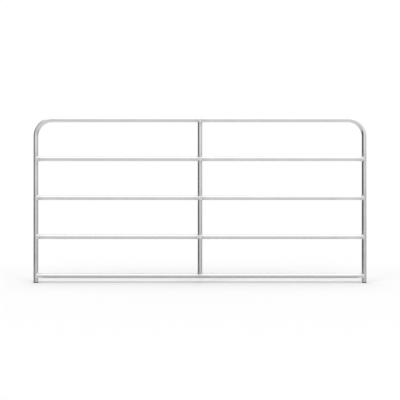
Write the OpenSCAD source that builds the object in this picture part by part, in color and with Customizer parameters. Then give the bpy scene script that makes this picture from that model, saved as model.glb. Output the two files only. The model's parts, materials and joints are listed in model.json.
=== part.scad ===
// Livestock panel gate: a round-cornered hoop of steel tube, four straight rails and a centre stay,
// coped, welded and galvanised, standing on two plugged legs.
// Millimetres. +X runs along the gate, +Y through it and +Z up. The origin is on the ground midway
// between the legs, and "left" and "right" are as seen from the -Y side.

/* [Gate] */
// Overall length, over the outsides of the two legs
gate_w = 3048; // [1800:1:4300]
// Overall height, from the ground to the top of the top rail
gate_h = 1511; // [1000:1:2200]
// Height of the bottom rail's middle above the ground
bottom_rail_h = 63.5; // [50:0.5:300]
// Radius of the two top corners, to the middle of the tube
corner_r = 150; // [90:1:240]

/* [Tube] */
// Outside diameter of the tube that the hoop, the rails and the stay are made of
tube_d = 41.3; // [33:0.1:60.3]
// Wall thickness of that tube
tube_t = 1.6; // [1.2:0.1:3.2]

/* [Welded joints] */
// Gap at a coped tube end, which the weld fills
root_gap = 0.6; // [0.4:0.1:1.2]
// Length of a weld's face along each of its two tubes, from the seam to the toe
weld_leg = 4; // [3:0.1:6]
// How far the middle of a weld's face stands proud of a flat one
weld_crown = 0.9; // [0.3:0.1:2]
// How deep a weld's root goes into the gap
weld_root = 1.2; // [0.6:0.1:1.5]
// Diameter of the vent holes hidden inside the joints, which let the zinc run out
vent_d = 14; // [6:0.5:20]

/* [Foot plugs] */
// Thickness of the flange that a leg stands on
plug_flange_t = 8; // [3:0.5:12]
// Chamfer on the flange's lower edge
plug_chamfer = 0.8; // [0.3:0.1:2]
// How far the shank goes up inside a leg
plug_depth = 24; // [14:1:40]
// Wall thickness of the hollow shank
plug_wall = 2; // [1.2:0.1:4]
// Number of barbed rings round the shank
plug_barbs = 3; // [2:1:4]
// How far a barb stands out from the shank
plug_barb_h = 1.4; // [0.5:0.1:2.5]
// Clearance between the barbs and the tube's bore
plug_clearance = 0.05; // [0.02:0.01:0.2]

/* [Hidden] */
$fn = 96;
RAILS = ["bottom", "lower", "middle", "upper"];
SIDES = ["left", "right"];
STAYS = [1, 2, 3, 4];
ENDS = ["foot", "head"];

tube_r = tube_d / 2;
bore_r = tube_r - tube_t;
leg_x = gate_w / 2 - tube_r;
top_z = gate_h - tube_r;
bend_x = leg_x - corner_r;
bend_z = top_z - corner_r;
rail_pitch = (top_z - bottom_rail_h) / len(RAILS);
through = tube_d;        // length that takes a cutter clear through a tube's wall
cope_r = tube_r + root_gap;
toe_sink = 0.4;          // depth of a weld's toes before they are trimmed to the tubes
shoulder = 0.75;         // share of the crown that is reached halfway from a toe to the middle
bead_rings = 48;         // cross-sections round one weld
ring_points = 6;         // corners of one cross-section
shank_tip = 0.5;         // length of the shank's tip past the barbs, in barb pitches
barb_pitch = plug_depth / (plug_barbs + shank_tip);
shank_r = bore_r - plug_clearance - plug_barb_h;
first_barb = 0.3;        // plain shank under the first barb, in barb pitches
// Corners of one barb: how far up in barb pitches, and how far out in barb heights
BARB = [[0, 0], [0.15, 1], [0.3, 1], [0.6, 0]];

zinc = "silver";
weld_grey = "darkgray";
plug_black = "#262626";

// Height of a rail's middle. Number 4, one past the straight rails, is the hoop's own top rail.
function rail_z(i) = bottom_rail_h + i * rail_pitch;

function unit(v) = v / norm(v);

// ---- Seam of a coped joint: the run tube lies along Z, and the branch tube leaves it along +X.

// Point on the seam at angle a round the branch
function seam(a) = [
    sqrt(pow(cope_r, 2) - pow(tube_r * cos(a), 2)),
    tube_r * cos(a),
    tube_r * sin(a)
];
function run_normal(a) = unit([seam(a)[0], seam(a)[1], 0]);
function branch_normal(a) = [0, cos(a), sin(a)];

// One cross-section of the bead: the run's toe, three points over the crown, the branch's toe, the root
function bead_section(a) =
    let (
        p = seam(a),
        to_run = run_normal(a),
        to_branch = branch_normal(a),
        out = unit(to_run + to_branch),
        across = cross(unit(cross(to_run, to_branch)), out),
        half_angle = 90 - acos(to_run * to_branch) / 2,
        reach = weld_leg * sin(half_angle),
        rise = weld_leg * cos(half_angle)
    )
    [
        p + reach * across + rise * out - toe_sink * to_run,
        p + reach * across / 2 + (rise + shoulder * weld_crown) * out,
        p + (rise + weld_crown) * out,
        p - reach * across / 2 + (rise + shoulder * weld_crown) * out,
        p - reach * across + rise * out - toe_sink * to_branch,
        p - weld_root * out
    ];

// The bead all round the seam, before the tubes are cut out of it
module bead_ring() {
    sections = [for (k = [0 : bead_rings - 1]) bead_section(k * 360 / bead_rings)];
    points = [for (section = sections) for (p = section) p];
    function at(k, m) = (k % bead_rings) * ring_points + m % ring_points;
    faces = [
        for (k = [0 : bead_rings - 1], m = [0 : ring_points - 1])
        for (half = [0, 1])
        half == 0
            ? [at(k, m), at(k, m + 1), at(k + 1, m + 1)]
            : [at(k, m), at(k + 1, m + 1), at(k + 1, m)]
    ];
    polyhedron(points, faces, convexity = 6);
}

// The weld metal of one coped joint
module weld() {
    color(weld_grey)
    difference() {
        bead_ring();
        cylinder(h = 2 * through, r = tube_r, center = true);
        difference() {
            rotate([0, 90, 0]) cylinder(h = 2 * through, r = tube_r);
            cylinder(h = 2 * through, r = cope_r, center = true);
        }
    }
}

// ---- Places of the joints

module at_leg(side, i) {
    turn = side == "left" ? 0 : 180;
    rotate([0, 0, turn]) translate([-leg_x, 0, rail_z(i)]) children();
}

// The foot of stay piece n stands on the rail below it, and its head meets the rail above
module at_stay_end(n, end) {
    i = end == "foot" ? n - 1 : n;
    turn = end == "foot" ? -90 : 90;
    translate([0, 0, rail_z(i)]) rotate([0, turn, 0]) children();
}

// Drill for a vent: from inside the run tube out through the wall that the branch covers
module vent_drill() {
    rotate([0, 90, 0]) cylinder(h = through, d = vent_d);
}

// ---- Tubes

// The hoop's shape at radius r round its middle line, with its legs cut off at foot_z
module hoop_rod(r, foot_z) {
    for (side = [0, 1]) mirror([side, 0, 0]) {
        translate([leg_x, 0, foot_z]) cylinder(h = bend_z - foot_z, r = r);
        translate([bend_x, 0, bend_z]) rotate([90, 0, 0])
            rotate_extrude(angle = 90) translate([corner_r, 0]) circle(r = r);
    }
    translate([-bend_x, 0, top_z]) rotate([0, 90, 0]) cylinder(h = 2 * bend_x, r = r);
}

module hoop_tube() {
    color(zinc)
    difference() {
        hoop_rod(tube_r, plug_flange_t);
        hoop_rod(bore_r, plug_flange_t - through);
        for (i = [0 : len(RAILS) - 1], side = SIDES) at_leg(side, i) vent_drill();
        at_stay_end(len(STAYS), "head") vent_drill();
    }
}

// A straight tube along X, coped at both ends to fit two tubes whose middles are span apart
module coped_tube(span) {
    difference() {
        rotate([0, 90, 0]) cylinder(h = span, r = tube_r, center = true);
        rotate([0, 90, 0]) cylinder(h = span + through, r = bore_r, center = true);
        for (end = [-1, 1])
            translate([end * span / 2, 0, 0]) cylinder(h = 2 * through, r = cope_r, center = true);
    }
}

module rail(i) {
    color(zinc)
    difference() {
        translate([0, 0, rail_z(i)]) coped_tube(2 * leg_x);
        at_stay_end(i + 1, "foot") vent_drill();
        if (i > 0) at_stay_end(i, "head") vent_drill();
    }
}

module stay_piece(n) {
    color(zinc)
    translate([0, 0, (rail_z(n - 1) + rail_z(n)) / 2]) rotate([0, 90, 0]) coped_tube(rail_pitch);
}

// ---- Foot plugs

// Half outline of one barb, from the shank out and back, starting z above the ground
function barb(z) = [
    for (corner = BARB) [shank_r + corner[1] * plug_barb_h, z + corner[0] * barb_pitch]
];

module foot_plug(side) {
    outline = concat(
        [[0, 0], [tube_r - plug_chamfer, 0], [tube_r, plug_chamfer], [tube_r, plug_flange_t]],
        [[shank_r, plug_flange_t]],
        [for (k = [0 : plug_barbs - 1]) each barb(plug_flange_t + (k + first_barb) * barb_pitch)],
        [[shank_r, plug_flange_t + plug_depth], [shank_r - plug_wall, plug_flange_t + plug_depth]],
        [[shank_r - plug_wall, plug_flange_t], [0, plug_flange_t]]
    );
    color(plug_black)
    translate([side == "left" ? -leg_x : leg_x, 0, 0]) rotate_extrude() polygon(outline);
}

// ---- Nodes

hoop_tube();
for (i = [0 : len(RAILS) - 1])
    rail(i);
for (n = STAYS)
    stay_piece(n);
for (i = [0 : len(RAILS) - 1], side = SIDES)
    at_leg(side, i) weld();
for (n = STAYS, end = ENDS)
    at_stay_end(n, end) weld();
for (side = SIDES)
    foot_plug(side);
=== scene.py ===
"""Livestock panel gate: a galvanised tube gate with coped, welded joints, standing in a white studio.

Laid out as an add-on. Each operator makes one piece, or a group of like pieces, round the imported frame.
Lengths are in metres. +X runs along the gate, +Y through it and +Z up.
"""

import json
import math
import random

import bmesh
import bpy
from mathutils import Matrix, Vector, noise


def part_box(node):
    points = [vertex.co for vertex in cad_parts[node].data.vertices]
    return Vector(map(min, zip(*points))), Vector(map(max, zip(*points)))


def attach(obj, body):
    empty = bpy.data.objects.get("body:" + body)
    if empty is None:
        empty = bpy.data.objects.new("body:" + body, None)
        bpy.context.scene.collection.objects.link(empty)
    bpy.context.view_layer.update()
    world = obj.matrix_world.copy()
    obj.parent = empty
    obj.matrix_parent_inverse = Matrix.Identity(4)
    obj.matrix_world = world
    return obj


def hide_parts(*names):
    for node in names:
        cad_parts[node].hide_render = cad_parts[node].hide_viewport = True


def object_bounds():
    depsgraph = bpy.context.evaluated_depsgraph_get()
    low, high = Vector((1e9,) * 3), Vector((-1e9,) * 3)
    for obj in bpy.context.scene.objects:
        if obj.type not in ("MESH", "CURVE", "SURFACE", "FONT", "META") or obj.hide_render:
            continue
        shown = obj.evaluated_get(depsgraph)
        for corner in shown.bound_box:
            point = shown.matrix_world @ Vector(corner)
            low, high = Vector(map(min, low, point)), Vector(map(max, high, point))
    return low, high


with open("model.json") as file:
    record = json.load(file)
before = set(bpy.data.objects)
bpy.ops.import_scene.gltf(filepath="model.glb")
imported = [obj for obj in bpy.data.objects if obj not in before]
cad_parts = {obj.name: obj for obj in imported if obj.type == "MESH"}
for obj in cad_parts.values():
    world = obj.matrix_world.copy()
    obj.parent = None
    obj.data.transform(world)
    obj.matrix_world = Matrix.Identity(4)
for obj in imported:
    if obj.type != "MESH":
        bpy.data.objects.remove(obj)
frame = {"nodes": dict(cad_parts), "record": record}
CAD_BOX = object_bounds()

bl_info = {
    "name": "Livestock Panel Gate",
    "version": (1, 0, 0),
    "blender": (4, 5, 0),
    "location": "3D View > Sidebar > Gate",
    "description": "Builds a welded, galvanised livestock panel gate in a studio",
    "category": "Object",
}

BODY = "root"
TUBE_SLOT = "galvanised_tube"
WELD_SLOT = "galvanised_weld"
PLUG_SLOT = "plug_plastic"

RAILS = ("bottom_rail", "lower_rail", "middle_rail", "upper_rail")
SIDES = ("left", "right")
STAYS = (1, 2, 3, 4)
ENDS = ("foot", "head")

UV_NAME = "Tube"
HEAT_NAME = "weld_heat"
MM = 0.001

# Meshes
MERGE_GAP = 0.01 * MM             # points closer than this are one point
FACE_GAP = 0.1 * MM               # points closer than this to the leg's outermost line lie on it
SHARP_ANGLE = math.radians(40)    # edges that turn more than this are drawn sharp
JOINT_STEPS = (15 * MM, 35 * MM, 70 * MM)    # rings on a tube, from the side of the tube that it joins
COPE_MARGIN = 1.05                # tube radii from a coped end that have no such rings
HEAT_REACH = 60 * MM              # how far from a weld its heat dulls the zinc
SEAM_EDGES = (0.7 * MM, 2.2 * MM)     # the rolled seam's half widths, at its top and at its foot
SCUFF_EDGES = (0.3 * MM, 2.2 * MM)    # heights between which a plug's scuffs fade out

# Weld beads
BEAD_STEPS = 336                  # cross-sections round one bead
BEAD_SIDES = 12                   # corners of one cross-section
SPIN_RADIUS = 2                   # radius of the ring that a bead starts as, in radii of its cross-section
TOE_SINK = 0.1 * MM               # how deep a bead's toes go into its tubes
CROWN_CLEARANCE = 0.2 * MM        # how far a bead's crown keeps above its tubes
SPREAD_POWER = 3                  # how closely a bead's spread keeps to the surface that rises most steeply
RIPPLE_CURVE = 0.35               # how far a ripple's ends trail behind its middle, in ripples
RIPPLE_DRIFT = 0.25               # how far ripples stray from even spacing, in ripples
CROWN_DRIFT = 0.1                 # how far the crown's height strays, as a share of it
DRIFT_SCALE = 3                   # how often both stray, going once round

# Foot plugs
PLUG_BARBS = 3
PLUG_STEPS = 96                   # flat sides round a plug
PLUG_CLEARANCE = 0.05 * MM        # between the barbs and the tube's bore
PLUG_DISH = 0.6 * MM              # depth of the hollow in the underside
PLUG_LIP = 0.3 * MM               # chamfer on the flange's upper edge
DISH_SHARES = (0.55, 0.62)        # how far out the dish's flat and then its slope reach, in tube radii
FIRST_BARB = 0.3                  # plain shank under the first barb, in barb pitches
SHANK_TIP = 0.5                   # length of the tip past the barbs, in barb pitches
BARB = ((0, 0), (0.15, 1), (0.3, 1), (0.6, 0))    # corners: up in barb pitches, and out in barb heights

# The studio. Tones are radiance, with 1 the white of the background.
ROOM_LIGHT = 0.36
TOP_LIGHT = 1.2
TOP_SPREAD = 44
KEY_LIGHT = 1.83
KEY_SPREAD = 24
KEY_PLACES = ((47, -45), (37, 0), (47, 45))    # tilt from overhead and bearing of each of its parts
BACKDROP_TONE = 1.02
CEILING_TONE = 2.2
CEILING_RISE = (0.7, 0.84)        # heights, as sines of elevation, between which the ceiling takes over
FLOOR_TONE = 0.88
FLOOR_GAIN = 0.25                 # how much lighter the reflected floor is straight below
FLOOR_FALL = (0.15, 0.45)         # depths between which the floor takes over from the walls
WALL_FADE = (0.87, 1.7)           # the walls' brightness at eye level, and its gain with height
WALL_RANGE = (0.66, 1.07)         # limits of that brightness
UPPER_RISE = (0.2, 0.5)           # heights between which the upper wall tones take over
# Tones of the walls by bearing, from straight behind the gate, by its left, the camera and its right
WALL_TONES = [
    (0.0, 0.27), (0.12, 0.32), (0.2, 0.17), (0.27, 0.06), (0.3, 0.11), (0.345, 0.36),
    (0.385, 0.68), (0.42, 0.93), (0.46, 1.03), (0.54, 1.2), (0.6, 1.16), (0.66, 1.0),
    (0.75, 0.86), (0.9, 0.7), (0.97, 0.5), (1.0, 0.27),
]
# The same, higher up
UPPER_TONES = [
    (0.0, 0.27), (0.12, 0.24), (0.2, 0.14), (0.27, 0.4), (0.32, 1.0), (0.46, 1.1),
    (0.54, 1.2), (0.66, 1.3), (0.75, 1.5), (0.9, 1.45), (0.94, 1.1), (0.97, 0.5), (1.0, 0.27),
]
ROOM_RAYS = ("Is Camera Ray", "Is Diffuse Ray", "Is Glossy Ray", "Diffuse Depth")
FLOOR_WIDTH = 120
# The floor strip below is a painted shade: darker than the floor, seen only in reflections, for the floor's
# shade under the gate
STRIP_MARGIN = 0.04               # from a leg's middle to the end of the floor strip that tubes reflect
STRIP_DEPTH = 0.32                # the strip's width, across the gate
STRIP_LIFT = 0.05 * MM

# The camera
CAMERA_DISTANCE = 5.09
CAMERA_HEIGHT = 0.7575
VIEW_WIDTH = 3.665                # width of the view in the gate's plane
SENSOR_WIDTH = 36


# ---- Driving dimensions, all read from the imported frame


def tube_radius():
    """Outside radius of the tube, as the record's clamp mounts give it."""
    radii = [m["dims"]["r_mm"] for m in frame["record"]["mounts"] if m["dims"].get("r_mm")]
    return radii[0] * MM


def middle_z(node):
    """Height of the middle of a CAD node."""
    low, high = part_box(node)
    return (low.z + high.z) / 2


def bend_start_z(leg_side_x):
    """Height at which the leg's straight outer side ends and the corner bend starts."""
    hoop = frame["nodes"]["hoop_tube"].data
    return max(vert.co.z for vert in hoop.vertices if vert.co.x > leg_side_x - FACE_GAP)


TUBE_R = tube_radius()
LEG_X = CAD_BOX[1].x - TUBE_R
TOP_Z = CAD_BOX[1].z - TUBE_R
RAIL_Z = [middle_z(f"weld_{rail}_left") for rail in RAILS] + [TOP_Z]
BEND_Z = bend_start_z(CAD_BOX[1].x)
CORNER_R = TOP_Z - BEND_Z
BEND_X = LEG_X - CORNER_R
FLANGE_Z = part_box("hoop_tube")[0].z
PLUG_TOP_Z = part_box("foot_plug_left")[1].z
WELD_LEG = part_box("weld_bottom_rail_left")[1].z - RAIL_Z[0] - TUBE_R


# ---- Settings


class GateSizes(bpy.types.PropertyGroup):
    """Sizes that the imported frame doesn't state."""

    tube_wall: bpy.props.FloatProperty(
        name="Tube wall", description="Wall thickness of the tube", default=1.6 * MM, unit="LENGTH"
    )
    root_gap: bpy.props.FloatProperty(
        name="Root gap", description="Gap at a coped tube end, under the weld", default=0.6 * MM,
        unit="LENGTH",
    )
    round_segments: bpy.props.IntProperty(
        name="Segments", description="Flat sides round one tube", default=64
    )
    bend_segments: bpy.props.IntProperty(
        name="Bend segments", description="Steps along one corner bend", default=28
    )
    weld_crown: bpy.props.FloatProperty(
        name="Weld crown", description="Height of a ripple's top over a flat weld face", default=0.7 * MM,
        unit="LENGTH",
    )
    weld_reach: bpy.props.FloatProperty(
        name="Weld reach", description="Share of the full leg that a weld has along or down from its seam",
        default=0.6, subtype="FACTOR",
    )
    weld_spread: bpy.props.FloatProperty(
        name="Weld spread", description="Further legs that a weld has straight up from its seam",
        default=1.6,
    )
    weld_root: bpy.props.FloatProperty(
        name="Weld root", description="Depth of a weld below its seam", default=0.9 * MM, unit="LENGTH"
    )
    ripple_pitch: bpy.props.FloatProperty(
        name="Ripple pitch", description="Distance from one weld ripple to the next", default=2.3 * MM,
        unit="LENGTH",
    )
    ripple_depth: bpy.props.FloatProperty(
        name="Ripple depth", description="Share of the crown that is lost between two ripples",
        default=0.35, subtype="FACTOR",
    )
    plug_edge: bpy.props.FloatProperty(
        name="Plug edge", description="Rounding of the foot plug's lower edge", default=0.8 * MM,
        unit="LENGTH",
    )
    plug_wall: bpy.props.FloatProperty(
        name="Plug wall", description="Wall thickness of the foot plug's shank", default=2 * MM,
        unit="LENGTH",
    )
    barb_height: bpy.props.FloatProperty(
        name="Barb height", description="How far a barb stands out from the shank", default=1.4 * MM,
        unit="LENGTH",
    )


class GateFinish(bpy.types.PropertyGroup):
    """Colours and textures of the gate and its studio."""

    zinc: bpy.props.FloatVectorProperty(
        name="Zinc", description="Colour of the galvanised tube", default=(0.6, 0.602, 0.605),
        subtype="COLOR",
    )
    zinc_roughness: bpy.props.FloatProperty(
        name="Zinc roughness", description="Middle roughness of the zinc coat", default=0.2,
        subtype="FACTOR",
    )
    spangle: bpy.props.FloatProperty(
        name="Spangle", description="Width of one zinc crystal", default=9 * MM, unit="LENGTH"
    )
    weld: bpy.props.FloatVectorProperty(
        name="Weld", description="Colour of the zinc over the welds", default=(0.74, 0.742, 0.745),
        subtype="COLOR",
    )
    plug: bpy.props.FloatVectorProperty(
        name="Plug", description="Colour of the foot plugs", default=(0.022, 0.022, 0.024),
        subtype="COLOR",
    )
    floor: bpy.props.FloatVectorProperty(
        name="Floor", description="Colour of the studio floor", default=(0.86, 0.86, 0.86),
        subtype="COLOR",
    )
    # Painted shade: a floor colour darker than the real floor, seen only in reflections, standing in for
    # the floor's shade under the gate
    painted_floor_shade: bpy.props.FloatVectorProperty(
        name="Painted floor shade", description="Colour of the floor that the bottom rail reflects",
        default=(0.72, 0.72, 0.72), subtype="COLOR",
    )


# ---- Shader maths


class Value:
    """A shader socket that Python's operators work on. Each one adds a Math node."""

    def __init__(self, shader, socket):
        self.shader = shader
        self.socket = socket

    def math(self, operation, *others):
        """Adds one Math node."""
        return self.shader.node("ShaderNodeMath", {"operation": operation}, [self, *others])

    def __add__(self, other):
        return self.math("ADD", other)

    def __sub__(self, other):
        return self.math("SUBTRACT", other)

    def __rsub__(self, other):
        return (self * -1) + other

    def __mul__(self, other):
        return self.math("MULTIPLY", other)

    def __truediv__(self, other):
        return self.math("DIVIDE", other)

    __radd__ = __add__
    __rmul__ = __mul__

    def between(self, low, high):
        """0 where this is low or less, 1 where it is high or more, and smooth between."""
        settings = {"interpolation_type": "SMOOTHSTEP"}
        inputs = {"Value": self, "From Min": low, "From Max": high}
        return self.shader.node("ShaderNodeMapRange", settings, inputs)

    def pingpong(self, scale):
        """Runs up from 0 to scale and down again, over and over."""
        return self.math("PINGPONG", scale)

    def at_least(self, floor):
        """This, or floor where this is less."""
        return self.math("MAXIMUM", floor)

    def at_most(self, ceiling):
        """This, or ceiling where this is more."""
        return self.math("MINIMUM", ceiling)


class Shader:
    """A new material, or any other node tree, with its old nodes cleared."""

    def __init__(self, owner):
        owner.use_nodes = True
        self.tree = owner.node_tree
        self.tree.nodes.clear()

    def node(self, kind, settings=None, inputs=None, output=0):
        """Adds a node, sets its settings, then feeds its inputs. Returns one of its outputs."""
        made = self.tree.nodes.new(kind)
        for name, value in (settings or {}).items():
            setattr(made, name, value)
        pairs = inputs.items() if isinstance(inputs, dict) else enumerate(inputs or [])
        for key, value in pairs:
            if isinstance(value, Value):
                self.tree.links.new(value.socket, made.inputs[key])
            else:
                made.inputs[key].default_value = value
        return Value(self, made.outputs[output]) if made.outputs else None

    def split(self, vector):
        """The X, Y and Z of a vector."""
        x = self.node("ShaderNodeSeparateXYZ", inputs=[vector])
        outputs = x.socket.node.outputs
        return x, Value(self, outputs[1]), Value(self, outputs[2])

    def join(self, x, y, z=0.0):
        """A vector, or a colour, from its three parts."""
        return self.node("ShaderNodeCombineXYZ", inputs=[x, y, z])

    def noise(self, vector, scale, detail=2.0):
        """Soft noise with the given number of features to a metre, taken from about -0.5 to 0.5."""
        inputs = {"Vector": vector, "Scale": scale, "Detail": detail, "Roughness": 0.5}
        return self.node("ShaderNodeTexNoise", inputs=inputs) - 0.5

    def crystals(self, vector, width):
        """One random number, from -0.5 to 0.5, for each cell of a field of crystals."""
        inputs = {"Vector": vector, "Scale": 1 / width}
        colour = self.node("ShaderNodeTexVoronoi", inputs=inputs, output="Color")
        return self.split(colour)[0] - 0.5

    def ramp(self, value, stops):
        """A tone read from a ramp, at a value from 0 to 1."""
        colour = self.node("ShaderNodeValToRGB", inputs=[value])
        elements = colour.socket.node.color_ramp.elements
        while len(elements) < len(stops):
            elements.new(1.0)
        for element, (position, tone) in zip(elements, stops):
            element.position = position
            element.color = (tone, tone, tone, 1)
        return self.split(colour)[0]

    def tint(self, colour, brightness):
        """A colour made lighter or darker by a varying value."""
        grey = self.join(brightness, brightness, brightness)
        settings = {"operation": "MULTIPLY"}
        return self.node("ShaderNodeVectorMath", settings, [tuple(colour), grey])

    def bump(self, height, distance, strength):
        """A normal tilted by the slope of a height field, whose unit is distance."""
        inputs = {"Strength": strength, "Distance": distance, "Height": height}
        return self.node("ShaderNodeBump", inputs=inputs)

    def surface(self, **inputs):
        """A Principled surface, with the words of each keyword joined to make a socket's name."""
        named = {
            key.replace("_", " ").title().replace("Ior", "IOR"): value
            for key, value in inputs.items()
        }
        shader = self.node("ShaderNodeBsdfPrincipled", inputs=named)
        self.node("ShaderNodeOutputMaterial", inputs=[shader])


# ---- Materials


def tube_zinc(name, finish):
    """Bright zinc with faint crystals, drawing lines along the tube, a rolled seam and dull joints."""
    material = bpy.data.materials.new(name)
    shader = Shader(material)
    place = shader.node("ShaderNodeTexCoord", output="Object")
    around, along, _ = shader.split(shader.node("ShaderNodeUVMap", {"uv_map": UV_NAME}))
    heat = shader.node("ShaderNodeAttribute", {"attribute_name": HEAT_NAME}, output="Fac")

    crystal = shader.crystals(place, finish.spangle)
    cloud = shader.noise(place, scale=11.0, detail=3.0)
    grain = shader.noise(place, scale=900.0)
    lines = shader.noise(shader.join(around * 700, along * 2.5), scale=1.0, detail=3.0)
    seam = 1 - around.pingpong(math.pi * TUBE_R).between(*SEAM_EDGES)
    dull = (heat * (cloud * 3 + 0.9)).at_least(0.0)

    brightness = 1 + crystal * 0.07 + cloud * 0.12 + lines * 0.05 + seam * 0.04 - dull * 0.1
    roughness = finish.zinc_roughness + crystal * 0.07 + cloud * 0.14 + lines * 0.05 + dull * 0.16
    height = crystal * 0.15 + cloud * 0.8 + grain * 0.12 + lines * 0.25 + seam * 0.9
    shader.surface(
        base_color=shader.tint(finish.zinc, brightness),
        metallic=1.0,
        roughness=roughness.at_least(0.12),
        normal=shader.bump(height, distance=0.12 * MM, strength=0.6),
    )
    return material


def weld_zinc(name, finish):
    """Duller, rougher zinc, as it gathers over the ripples of a weld."""
    material = bpy.data.materials.new(name)
    shader = Shader(material)
    place = shader.node("ShaderNodeTexCoord", output="Object")
    cloud = shader.noise(place, scale=60.0, detail=4.0)
    grain = shader.noise(place, scale=1500.0, detail=3.0)
    specks = shader.noise(place, scale=420.0, detail=1.0).between(0.12, 0.22)
    shader.surface(
        base_color=shader.tint(finish.weld, 1 + cloud * 0.3 + grain * 0.1 - specks * 0.18),
        metallic=1.0,
        roughness=0.27 + cloud * 0.2 + specks * 0.15,
        normal=shader.bump(grain * 0.5 + cloud, distance=0.1 * MM, strength=0.5),
    )
    return material


def moulded_plastic(name, finish):
    """Black moulded plastic, scuffed grey where it stands on the ground."""
    material = bpy.data.materials.new(name)
    shader = Shader(material)
    place = shader.node("ShaderNodeTexCoord", output="Object")
    height = shader.split(place)[2]
    grain = shader.noise(place, scale=1800.0)
    patches = shader.noise(place, scale=320.0, detail=4.0)
    worn = (1 - height.between(*SCUFF_EDGES)) * patches.between(-0.05, 0.12)
    shader.surface(
        base_color=shader.tint(finish.plug, 1 + grain * 0.5 + worn),
        roughness=0.45 + grain * 0.15 + worn * 0.25,
        specular_ior_level=0.3,
        normal=shader.bump(grain + worn * 0.6, distance=0.05 * MM, strength=0.5),
    )
    return material


def material_for(slot):
    """The material of a slot, made the first time that it is asked for."""
    makers = {TUBE_SLOT: tube_zinc, WELD_SLOT: weld_zinc, PLUG_SLOT: moulded_plastic}
    name = f"{slot}_finish"
    return bpy.data.materials.get(name) or makers[slot](name, bpy.context.scene.gate_finish)


# ---- Meshes


def finish_piece(bm, name, slot, *nodes):
    """Turns a mesh into a piece that rides on the gate and stands for its CAD nodes."""
    for edge in bm.edges:
        edge.smooth = len(edge.link_faces) == 2 and edge.calc_face_angle() < SHARP_ANGLE
    for face in bm.faces:
        face.smooth = True
    mesh = bpy.data.meshes.new(name)
    bm.to_mesh(mesh)
    bm.free()
    mesh.materials.append(material_for(slot))
    piece = bpy.data.objects.new(name, mesh)
    bpy.context.scene.collection.objects.link(piece)
    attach(piece, BODY)
    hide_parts(*nodes)
    return piece


def circle(bm, segments, radius, place):
    """The edges of a circle, in the same order each run."""
    made = bmesh.ops.create_circle(bm, segments=segments, radius=radius, matrix=place)
    return list(dict.fromkeys(edge for vert in made["verts"] for edge in vert.link_edges))


def tube_ring(bm, place):
    """The edges of a circle across a tube."""
    return circle(bm, bpy.context.scene.gate_sizes.round_segments, TUBE_R, place)


def spin_round(bm, edges, axis, steps):
    """Spins edges once round an axis through the origin."""
    bmesh.ops.spin(
        bm, geom=edges, cent=(0, 0, 0), axis=axis, angle=2 * math.pi, steps=steps, use_merge=True,
        use_duplicate=False,
    )


def push(bm, edges, offset):
    """Extrudes a ring of edges straight on, and returns the new ring."""
    made = bmesh.ops.extrude_edge_only(bm, edges=edges)["geom"]
    verts = [part for part in made if isinstance(part, bmesh.types.BMVert)]
    bmesh.ops.translate(bm, verts=verts, vec=offset)
    return [part for part in made if isinstance(part, bmesh.types.BMEdge)]


def push_through(bm, edges, levels, direction):
    """Extrudes a ring from one level to the next along a direction."""
    for start, end in zip(levels, levels[1:]):
        edges = push(bm, edges, direction * abs(end - start))
    return edges


def turn(bm, edges, centre, angle):
    """Sweeps a ring round a bend in the gate's own plane, and returns the last ring."""
    steps = bpy.context.scene.gate_sizes.bend_segments
    made = bmesh.ops.spin(
        bm, geom=edges, cent=centre, axis=(0, 1, 0), angle=angle, steps=steps, use_duplicate=False
    )
    return [part for part in made["geom_last"] if isinstance(part, bmesh.types.BMEdge)]


def keep_inside(bm):
    """Takes rounding errors off points that lie past the CAD model's sides or top."""
    low, high = CAD_BOX
    for vert in bm.verts:
        vert.co.x = min(max(vert.co.x, low.x), high.x)
        vert.co.z = min(vert.co.z, high.z)


def give_wall(bm, thickness):
    """Turns a bare tube surface into a tube with a wall, inside it."""
    bmesh.ops.recalc_face_normals(bm, faces=bm.faces)
    bmesh.ops.solidify(bm, geom=bm.faces, thickness=thickness)


def joint_levels(start, end, joints):
    """Levels from start to end, with extra ones near each joint for the dulled zinc to fade over."""
    steps = [TUBE_R + step for step in (0, WELD_LEG, *JOINT_STEPS)]
    near = {joint + side * step for joint in joints for step in steps for side in (-1, 1)}
    inside = [level for level in near if start < level < end]
    return sorted({start, end, *inside})


def lay_out(bm, joints, locate):
    """Maps the surface round and along the tube, and marks how near each point is to a weld.

    locate gives a point's distance along the tube, and its outward and backward offset from the middle.
    """
    uv = bm.loops.layers.uv.new(UV_NAME)
    heat = bm.verts.layers.float.new(HEAT_NAME)
    girth = 2 * math.pi * TUBE_R
    turns = {}
    for vert in bm.verts:
        along, outward, backward = locate(vert.co)
        share = (math.atan2(backward, outward) / (2 * math.pi) - 0.25) % 1
        turns[vert] = (share, along)
        distance = min((abs(along - joint) for joint in joints), default=1.0)
        vert[heat] = max(0.0, 1 - max(0.0, distance - TUBE_R - WELD_LEG) / HEAT_REACH)
    for face in bm.faces:
        shares = [turns[loop.vert][0] for loop in face.loops]
        wraps = max(shares) - min(shares) > 0.5
        for loop, share in zip(face.loops, shares):
            whole = share + 1 if wraps and share < 0.5 else share
            loop[uv].uv = (whole * girth, turns[loop.vert][1])


def hoop_lengths():
    """Distance along the hoop from the left foot to the middle of the top rail, and to the right foot."""
    half = BEND_Z + CORNER_R * math.pi / 2 + BEND_X
    return half, 2 * half


def hoop_place(point):
    """Distance along the hoop from the left foot, and the outward and backward offset from its middle."""
    x, y, z = point
    half, whole = hoop_lengths()
    if abs(x) <= BEND_X:
        return half + x, z - TOP_Z, y
    if z <= BEND_Z:
        along, outward = z, abs(x) - LEG_X
    else:
        across, up = abs(x) - BEND_X, z - BEND_Z
        along = BEND_Z + CORNER_R * math.atan2(up, across)
        outward = math.hypot(across, up) - CORNER_R
    return (along if x < 0 else whole - along), outward, y


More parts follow.
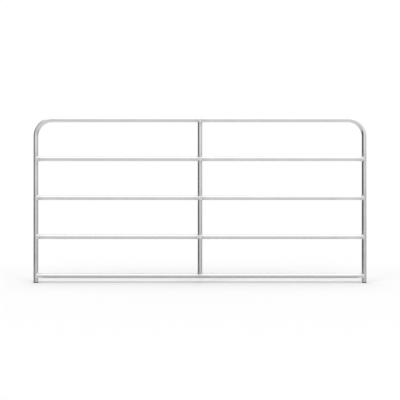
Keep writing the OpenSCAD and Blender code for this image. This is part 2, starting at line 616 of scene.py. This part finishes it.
def make_hoop():
    """The hoop: up the left leg, round the corner, along the top and down again."""
    bm = bmesh.new()
    up, right, down = Vector((0, 0, 1)), Vector((1, 0, 0)), Vector((0, 0, -1))
    leg = joint_levels(FLANGE_Z, BEND_Z, RAIL_Z[:-1])
    top = joint_levels(-BEND_X, BEND_X, [0.0])
    edges = tube_ring(bm, Matrix.Translation((-LEG_X, 0, FLANGE_Z)))
    edges = push_through(bm, edges, leg, up)
    edges = turn(bm, edges, (-BEND_X, 0, BEND_Z), math.pi / 2)
    edges = push_through(bm, edges, top, right)
    edges = turn(bm, edges, (BEND_X, 0, BEND_Z), math.pi / 2)
    push_through(bm, edges, leg[::-1], down)
    bmesh.ops.remove_doubles(bm, verts=bm.verts, dist=MERGE_GAP)
    keep_inside(bm)
    give_wall(bm, bpy.context.scene.gate_sizes.tube_wall)

    half, whole = hoop_lengths()
    joints = [*RAIL_Z[:-1], *[whole - z for z in RAIL_Z[:-1]], half]
    lay_out(bm, joints, hoop_place)
    return finish_piece(bm, "hoop", TUBE_SLOT, "hoop_tube")


def cope(bm, span):
    """Shapes both ends of a tube along X to fit round the tubes whose middles are span apart."""
    reach = TUBE_R + bpy.context.scene.gate_sizes.root_gap
    for vert in bm.verts:
        if abs(vert.co.x) > span / 2 - TUBE_R / 2:
            end = span / 2 - math.sqrt(reach**2 - min(vert.co.y**2, reach**2))
            vert.co.x = math.copysign(end, vert.co.x)


def make_straight(name, span, joints, place, node):
    """A straight tube with coped ends, made along X and then put in place."""
    bm = bmesh.new()
    levels = [
        level
        for level in joint_levels(-span / 2, span / 2, joints)
        if abs(level) == span / 2 or abs(level) < span / 2 - TUBE_R * COPE_MARGIN
    ]
    across = Matrix.Translation((-span / 2, 0, 0)) @ Matrix.Rotation(math.pi / 2, 4, "Y")
    edges = tube_ring(bm, across)
    push_through(bm, edges, levels, Vector((1, 0, 0)))
    give_wall(bm, bpy.context.scene.gate_sizes.tube_wall)
    cope(bm, span)
    lay_out(bm, joints, lambda point: (point.x, point.z, point.y))
    bmesh.ops.transform(bm, matrix=place, verts=bm.verts)
    return finish_piece(bm, name, TUBE_SLOT, node)


# ---- Welds


def seam_point(angle, reach):
    """A point on the seam of a coped joint. The run tube lies along Z and the branch leaves it along +X."""
    y, z = TUBE_R * math.cos(angle), TUBE_R * math.sin(angle)
    return Vector((math.sqrt(reach**2 - y**2), y, z))


def seam_lengths(reach):
    """How far round the seam each of a bead's cross-sections is from the first."""
    lengths = [0.0]
    for step in range(BEAD_STEPS):
        start = seam_point(2 * math.pi * step / BEAD_STEPS, reach)
        end = seam_point(2 * math.pi * (step + 1) / BEAD_STEPS, reach)
        lengths.append(lengths[-1] + (end - start).length)
    return lengths


def snap(point, first, second, radius, outwards=False):
    """Moves a point square to a tube's axis, on to a radius or only out to it."""
    here = math.hypot(point[first], point[second])
    if here < radius or not outwards:
        point[first] *= radius / here
        point[second] *= radius / here


def bead_point(angle, side, lift, reach, ripple, up):
    """A point of a weld bead, which spreads further over the surface that rises from the seam.

    side runs from -1 at the branch's toe to 1 at the run's, and lift from -1 at the root to 1 at the crown.
    """
    sizes = bpy.context.scene.gate_sizes
    seam = seam_point(angle, reach)
    off_run = Vector((seam.x, seam.y, 0)).normalized()
    off_branch = Vector((0, math.cos(angle), math.sin(angle)))
    out = (off_run + off_branch).normalized()
    across = off_run.cross(off_branch).normalized().cross(out)
    half = math.pi / 2 - off_run.angle(off_branch) / 2
    toes = []
    for toward, first, second in ((-1, 1, 2), (1, 0, 1)):
        along = across * math.sin(half) * toward + out * math.cos(half)
        legs = sizes.weld_reach + sizes.weld_spread * max(0.0, along.dot(up)) ** SPREAD_POWER
        toe = seam + along * WELD_LEG * legs
        snap(toe, first, second, TUBE_R - TOE_SINK)
        toes.append(toe)
    point = toes[0].lerp(toes[1], (side + 1) / 2)
    if lift <= 0:
        return point.lerp(seam - out * sizes.weld_root, -lift)
    point += out * sizes.weld_crown * ripple * lift
    snap(point, 1, 2, TUBE_R + CROWN_CLEARANCE * lift, outwards=True)
    snap(point, 0, 1, TUBE_R + CROWN_CLEARANCE * lift, outwards=True)
    return point


def make_bead(name, place, seed, node):
    """A weld bead: a ring spun round the branch, then laid on the seam with its ripples."""
    sizes = bpy.context.scene.gate_sizes
    reach = TUBE_R + sizes.root_gap
    lengths = seam_lengths(reach)
    ripples = round(lengths[-1] / sizes.ripple_pitch)
    start = random.Random(seed).random()
    up = place.to_3x3().inverted() @ Vector((0, 0, 1))

    bm = bmesh.new()
    edges = circle(bm, BEAD_SIDES, 1.0, Matrix.Translation((0, SPIN_RADIUS, 0)))
    spin_round(bm, edges, (1, 0, 0), BEAD_STEPS)
    for vert in bm.verts:
        angle = math.atan2(vert.co.z, vert.co.y) % (2 * math.pi)
        side, lift = vert.co.x, math.hypot(vert.co.y, vert.co.z) - SPIN_RADIUS
        travelled = lengths[round(angle / (2 * math.pi) * BEAD_STEPS)] / lengths[-1]
        drift = noise.noise(Vector((DRIFT_SCALE * math.cos(angle), DRIFT_SCALE * math.sin(angle), seed)))
        phase = travelled * ripples + start + RIPPLE_CURVE * side * side + RIPPLE_DRIFT * drift
        ripple = 1 - sizes.ripple_depth * (1 - abs(math.sin(math.pi * phase)))
        vert.co = bead_point(angle, side, lift, reach, ripple * (1 + CROWN_DRIFT * drift), up)
    bmesh.ops.recalc_face_normals(bm, faces=bm.faces)
    bmesh.ops.transform(bm, matrix=place, verts=bm.verts)
    return finish_piece(bm, name, WELD_SLOT, node)


def at_leg(side, height):
    """Places a joint where a rail's end meets a leg."""
    half_turn = Matrix.Rotation(0 if side == "left" else math.pi, 4, "Z")
    return half_turn @ Matrix.Translation((-LEG_X, 0, height))


def at_stay_end(end, height):
    """Places a joint where the foot or the head of a stay piece meets a rail."""
    quarter = Matrix.Rotation(math.radians(-90 if end == "foot" else 90), 4, "Y")
    return Matrix.Translation((0, 0, height)) @ quarter


# ---- Foot plugs


def plug_outline(sizes):
    """Half the plug's section, from the middle of its underside round to the floor of its hollow."""
    shank = TUBE_R - sizes.tube_wall - sizes.barb_height - PLUG_CLEARANCE
    hollow = shank - sizes.plug_wall
    pitch = (PLUG_TOP_Z - FLANGE_Z) / (PLUG_BARBS + SHANK_TIP)
    points = [
        (0, PLUG_DISH),
        (TUBE_R * DISH_SHARES[0], PLUG_DISH),
        (TUBE_R * DISH_SHARES[1], 0),
        (TUBE_R, 0),
        (TUBE_R, FLANGE_Z - PLUG_LIP),
        (TUBE_R - PLUG_LIP, FLANGE_Z),
        (shank, FLANGE_Z),
    ]
    for number in range(PLUG_BARBS):
        foot = FLANGE_Z + (number + FIRST_BARB) * pitch
        points += [(shank + out * sizes.barb_height, foot + up * pitch) for up, out in BARB]
    points += [(shank, PLUG_TOP_Z), (hollow, PLUG_TOP_Z), (hollow, FLANGE_Z), (0, FLANGE_Z)]
    return points


def make_plug(side):
    """A foot plug: its section spun round the leg's axis, with a rounded lower edge."""
    sizes = bpy.context.scene.gate_sizes
    bm = bmesh.new()
    verts = [bm.verts.new((radius, 0, height)) for radius, height in plug_outline(sizes)]
    edges = [bm.edges.new(pair) for pair in zip(verts, verts[1:])]
    spin_round(bm, edges, (0, 0, 1), PLUG_STEPS)
    bmesh.ops.remove_doubles(bm, verts=bm.verts, dist=MERGE_GAP)
    rim = [
        edge
        for edge in bm.edges
        if all(vert.co.z < MERGE_GAP and vert.co.xy.length > TUBE_R - MERGE_GAP for vert in edge.verts)
    ]
    bmesh.ops.bevel(
        bm, geom=rim, offset=sizes.plug_edge, segments=4, profile=0.5, affect="EDGES", material=-1
    )
    bmesh.ops.recalc_face_normals(bm, faces=bm.faces)
    x = -LEG_X if side == "left" else LEG_X
    bmesh.ops.translate(bm, verts=bm.verts, vec=(x, 0, 0))
    return finish_piece(bm, f"plug_{side}", PLUG_SLOT, f"foot_plug_{side}")


# ---- Studio


def link_stage(name, data):
    """A new object in the scene that isn't part of the gate."""
    made = bpy.data.objects.new(name, data)
    bpy.context.scene.collection.objects.link(made)
    return made


def make_plane(name, width, depth, height, colour):
    """A level sheet of the studio's floor."""
    bm = bmesh.new()
    place = Matrix.Translation((0, 0, height)) @ Matrix.Diagonal((width / 2, depth / 2, 1, 1))
    bmesh.ops.create_grid(bm, x_segments=1, y_segments=1, size=1, matrix=place)
    mesh = bpy.data.meshes.new(name)
    bm.to_mesh(mesh)
    bm.free()
    material = bpy.data.materials.new(name)
    shader = Shader(material)
    shader.surface(base_color=(*colour, 1), roughness=1.0, specular_ior_level=0.0)
    mesh.materials.append(material)
    sheet = link_stage(name, mesh)
    return sheet


def make_floor(finish):
    """A wide pale floor, which tubes reflect only close to the gate, and the room's own tone beyond. Close
    to the gate they reflect a darker strip instead, a painted shade of the floor under the gate.
    """
    make_plane("floor", FLOOR_WIDTH, FLOOR_WIDTH, 0, finish.floor).visible_glossy = False
    length = 2 * LEG_X - 2 * STRIP_MARGIN
    # Painted shade: a darker strip of floor that only reflections see, added to the real shadows it takes
    # from the gate
    near = make_plane("painted_floor_shade_strip", length, STRIP_DEPTH, STRIP_LIFT, finish.painted_floor_shade)
    near.visible_camera = False
    near.visible_diffuse = False
    near.visible_shadow = False


def make_room():
    """White surroundings. Reflections see toned walls, a bright ceiling and a pale floor instead."""
    world = bpy.data.worlds.new("studio")
    world.cycles.sampling_method = "NONE"
    bpy.context.scene.world = world
    shader = Shader(world)
    x, y, z = shader.split(shader.node("ShaderNodeTexCoord", output="Generated"))
    bearing = x.math("ARCTAN2", y * -1) / (2 * math.pi) + 0.5
    eye_level, gain = WALL_FADE
    fade = (eye_level + z * gain).at_most(WALL_RANGE[1]).at_least(WALL_RANGE[0])
    walls = shader.ramp(bearing, WALL_TONES) * fade
    walls = walls + (shader.ramp(bearing, UPPER_TONES) - walls) * z.between(*UPPER_RISE)
    ground = FLOOR_TONE - z * FLOOR_GAIN
    side = walls + (ground - walls) * (z * -1).between(*FLOOR_FALL)
    glow = side + (CEILING_TONE - side) * z.between(*CEILING_RISE)
    path = shader.node("ShaderNodeLightPath")
    rays = {name: Value(shader, path.socket.node.outputs[name]) for name in ROOM_RAYS}
    direct = 1 - rays["Diffuse Depth"].at_most(1.0)
    tone = (
        rays["Is Diffuse Ray"] * ROOM_LIGHT
        + rays["Is Glossy Ray"] * direct * glow
        + rays["Is Camera Ray"] * BACKDROP_TONE
    )
    inputs = {"Color": shader.join(tone, tone, tone), "Strength": 1.0}
    white = shader.node("ShaderNodeBackground", inputs=inputs)
    shader.node("ShaderNodeOutputWorld", inputs=[white])


def make_sun(name, tilt, bearing, spread, energy):
    """A wide, soft light without an end, tilted from overhead towards the front."""
    light = bpy.data.lights.new(name, "SUN")
    light.angle = math.radians(spread)
    light.energy = energy
    lamp = link_stage(name, light)
    lamp.rotation_euler = (math.radians(tilt), 0, math.radians(bearing))
    lamp.visible_glossy = False


def make_lights():
    """A soft light overhead, and three side by side in front."""
    make_sun("soft_light_top", 0, 0, TOP_SPREAD, TOP_LIGHT)
    for number, (tilt, bearing) in enumerate(KEY_PLACES):
        make_sun(f"soft_light_{number}", tilt, bearing, KEY_SPREAD, KEY_LIGHT / len(KEY_PLACES))


def make_camera():
    """Level, square to the gate, and at its middle height."""
    camera = bpy.data.cameras.new("camera")
    camera.sensor_width = SENSOR_WIDTH
    camera.lens = SENSOR_WIDTH * CAMERA_DISTANCE / VIEW_WIDTH
    placed = link_stage("camera", camera)
    placed.location = (0, -CAMERA_DISTANCE, CAMERA_HEIGHT)
    placed.rotation_euler = (math.pi / 2, 0, 0)
    bpy.context.scene.camera = placed
    bpy.context.scene.view_settings.view_transform = "Standard"


# ---- Operators


class GATE_OT_hoop(bpy.types.Operator):
    """Bend the hoop that makes the two legs, the corners and the top rail"""

    bl_idname = "gate.hoop"
    bl_label = "Hoop"

    def execute(self, context):
        make_hoop()
        return {"FINISHED"}


class GATE_OT_rails(bpy.types.Operator):
    """Lay the straight rails between the legs"""

    bl_idname = "gate.rails"
    bl_label = "Rails"

    def execute(self, context):
        for rail, height in zip(RAILS, RAIL_Z):
            place = Matrix.Translation((0, 0, height))
            make_straight(f"{rail}_tube", 2 * LEG_X, [-LEG_X, 0.0, LEG_X], place, rail)
        return {"FINISHED"}


class GATE_OT_stay(bpy.types.Operator):
    """Stand the pieces of the centre stay between the rails"""

    bl_idname = "gate.stay"
    bl_label = "Centre stay"

    def execute(self, context):
        for number in STAYS:
            low, high = RAIL_Z[number - 1], RAIL_Z[number]
            half = (high - low) / 2
            place = Matrix.Translation((0, 0, (low + high) / 2)) @ Matrix.Rotation(-math.pi / 2, 4, "Y")
            make_straight(f"stay_tube_{number}", 2 * half, [-half, half], place, f"stay_piece_{number}")
        return {"FINISHED"}


class GATE_OT_welds(bpy.types.Operator):
    """Weld every rail end and stay end"""

    bl_idname = "gate.welds"
    bl_label = "Welds"

    def execute(self, context):
        joints = [(f"{rail}_{side}", at_leg(side, z)) for rail, z in zip(RAILS, RAIL_Z) for side in SIDES]
        for number in STAYS:
            for end, height in zip(ENDS, RAIL_Z[number - 1 : number + 1]):
                joints.append((f"stay_{number}_{end}", at_stay_end(end, height)))
        for seed, (name, place) in enumerate(joints):
            make_bead(f"bead_{name}", place, seed, f"weld_{name}")
        return {"FINISHED"}


class GATE_OT_plugs(bpy.types.Operator):
    """Put the plastic plugs in the feet of the legs"""

    bl_idname = "gate.plugs"
    bl_label = "Foot plugs"

    def execute(self, context):
        for side in SIDES:
            make_plug(side)
        return {"FINISHED"}


class GATE_OT_stage(bpy.types.Operator):
    """Set up the floor, the lights and the camera"""

    bl_idname = "gate.stage"
    bl_label = "Stage"

    def execute(self, context):
        make_floor(context.scene.gate_finish)
        make_room()
        make_lights()
        make_camera()
        return {"FINISHED"}


class GATE_PT_panel(bpy.types.Panel):
    """Sidebar panel with the gate's operators"""

    bl_idname = "GATE_PT_panel"
    bl_label = "Livestock Panel Gate"
    bl_space_type = "VIEW_3D"
    bl_region_type = "UI"
    bl_category = "Gate"

    def draw(self, context):
        for operator in OPERATORS:
            self.layout.operator(operator.bl_idname)


OPERATORS = (GATE_OT_stage, GATE_OT_hoop, GATE_OT_rails, GATE_OT_stay, GATE_OT_welds, GATE_OT_plugs)
CLASSES = (GateSizes, GateFinish, *OPERATORS, GATE_PT_panel)


def register():
    """Registers every class, and gives the scene its settings."""
    for made in CLASSES:
        bpy.utils.register_class(made)
    bpy.types.Scene.gate_sizes = bpy.props.PointerProperty(type=GateSizes)
    bpy.types.Scene.gate_finish = bpy.props.PointerProperty(type=GateFinish)


def unregister():
    """Undoes register, in reverse."""
    del bpy.types.Scene.gate_finish
    del bpy.types.Scene.gate_sizes
    for made in reversed(CLASSES):
        bpy.utils.unregister_class(made)


def main():
    """Registers the add-on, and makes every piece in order."""
    register()
    for operator in OPERATORS:
        group, name = operator.bl_idname.split(".")
        getattr(getattr(bpy.ops, group), name)()


if __name__ == "__main__":
    main()
